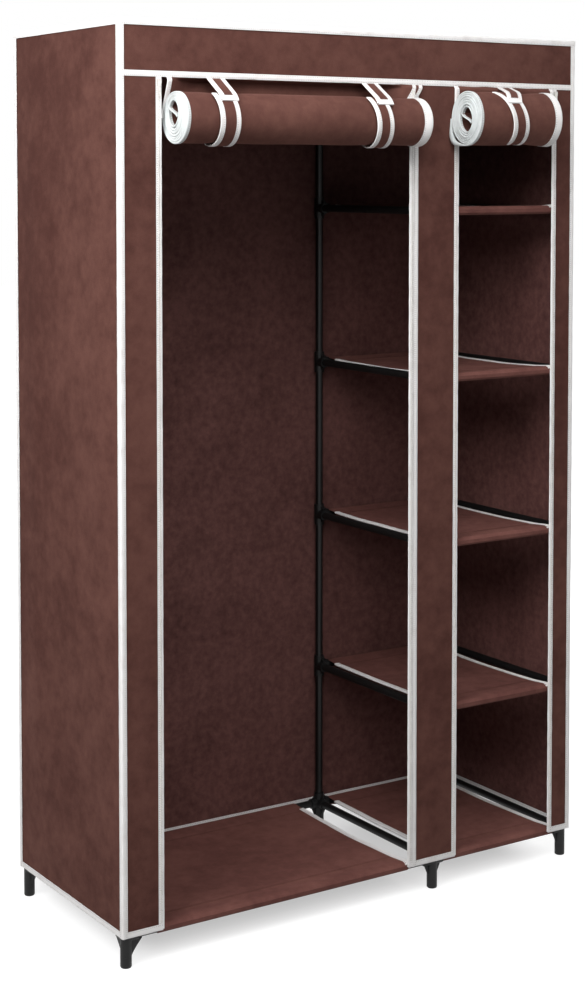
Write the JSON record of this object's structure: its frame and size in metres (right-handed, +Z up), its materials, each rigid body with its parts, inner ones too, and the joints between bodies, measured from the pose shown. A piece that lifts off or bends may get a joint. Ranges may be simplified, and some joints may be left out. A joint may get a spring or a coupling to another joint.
{
  "type": "portable fabric wardrobe",
  "caption": "Plugged steel tube frame with shelves and a hanging bay inside a bound cloth cover, its front doors rolled up and strapped.",
  "frame": {"origin": "on the floor, under the middle of the whole box with the rolled doors", "axes": "+Z up, +X to the right seen from the open front, +Y from the front to the back wall"},
  "size_m": [1.1, 0.5648, 1.77],
  "materials": {
    "black_steel_tube": "black painted steel tube, half gloss",
    "black_moulded_plastic": "black injection-moulded plastic",
    "brown_nonwoven_cloth": "brown non-woven cloth, matt with a fine bonded grain",
    "white_binding_tape": "white folded binding tape, stitched",
    "white_enamelled_metal": "white enamel"
  },
  "bodies": {
    "root": {"base_frame": "black_moulded_plastic", "top_frame": "black_moulded_plastic", "shelf_frame_1": "black_moulded_plastic", "shelf_frame_2": "black_moulded_plastic", "shelf_frame_3": "black_moulded_plastic", "shelf_frame_4": "black_moulded_plastic", "left_front_post": "black_steel_tube", "left_back_post": "black_steel_tube", "middle_front_post_tube_1": "black_steel_tube", "middle_front_post_tube_2": "black_steel_tube", "middle_front_post_tube_3": "black_steel_tube", "middle_front_post_tube_4": "black_steel_tube", "middle_front_post_tube_5": "black_steel_tube", "right_front_post_tube_1": "black_steel_tube", "right_front_post_tube_2": "black_steel_tube", "right_front_post_tube_3": "black_steel_tube", "right_front_post_tube_4": "black_steel_tube", "right_front_post_tube_5": "black_steel_tube", "middle_back_post_tube_1": "black_steel_tube", "middle_back_post_tube_2": "black_steel_tube", "middle_back_post_tube_3": "black_steel_tube", "middle_back_post_tube_4": "black_steel_tube", "middle_back_post_tube_5": "black_steel_tube", "right_back_post_tube_1": "black_steel_tube", "right_back_post_tube_2": "black_steel_tube", "right_back_post_tube_3": "black_steel_tube", "right_back_post_tube_4": "black_steel_tube", "right_back_post_tube_5": "black_steel_tube", "left_front_foot": "black_moulded_plastic", "middle_front_foot": "black_moulded_plastic", "right_front_foot": "black_moulded_plastic", "left_back_foot": "black_moulded_plastic", "middle_back_foot": "black_moulded_plastic", "right_back_foot": "black_moulded_plastic", "cover_top": "brown_nonwoven_cloth", "cover_back": "brown_nonwoven_cloth", "cover_left_side": "brown_nonwoven_cloth", "cover_right_side": "brown_nonwoven_cloth", "cover_valance": "brown_nonwoven_cloth", "cover_left_strip": "brown_nonwoven_cloth", "cover_middle_strip": "brown_nonwoven_cloth", "cover_right_strip": "brown_nonwoven_cloth", "cover_binding": "white_binding_tape", "shelf_cloth_1": "brown_nonwoven_cloth", "shelf_cloth_2": "brown_nonwoven_cloth", "shelf_cloth_3": "brown_nonwoven_cloth", "shelf_cloth_4": "brown_nonwoven_cloth", "base_cloth_left": "brown_nonwoven_cloth", "base_cloth_right": "brown_nonwoven_cloth", "left_door_strap_1": "brown_nonwoven_cloth", "left_door_strap_2": "brown_nonwoven_cloth", "right_door_strap": "brown_nonwoven_cloth"},
    "left_door": {"left_door_roll": "brown_nonwoven_cloth", "left_door_curtain": "brown_nonwoven_cloth", "left_door_zip_slider_1": "white_enamelled_metal", "left_door_zip_slider_2": "white_enamelled_metal"},
    "right_door": {"right_door_roll": "brown_nonwoven_cloth", "right_door_curtain": "brown_nonwoven_cloth", "right_door_zip_slider_1": "white_enamelled_metal", "right_door_zip_slider_2": "white_enamelled_metal"}
  },
  "joints": [
    {"name": "left_door_unroll", "type": "slide", "parent": "root", "child": "left_door", "axis": [0, 0, -1], "range_m": [0, 1.468], "deforming": ["left_door_curtain", "left_door_strap_1", "left_door_strap_2"]},
    {"name": "right_door_unroll", "type": "slide", "parent": "root", "child": "right_door", "axis": [0, 0, -1], "range_m": [0, 1.483], "deforming": ["right_door_curtain", "right_door_strap"]}
  ]
}
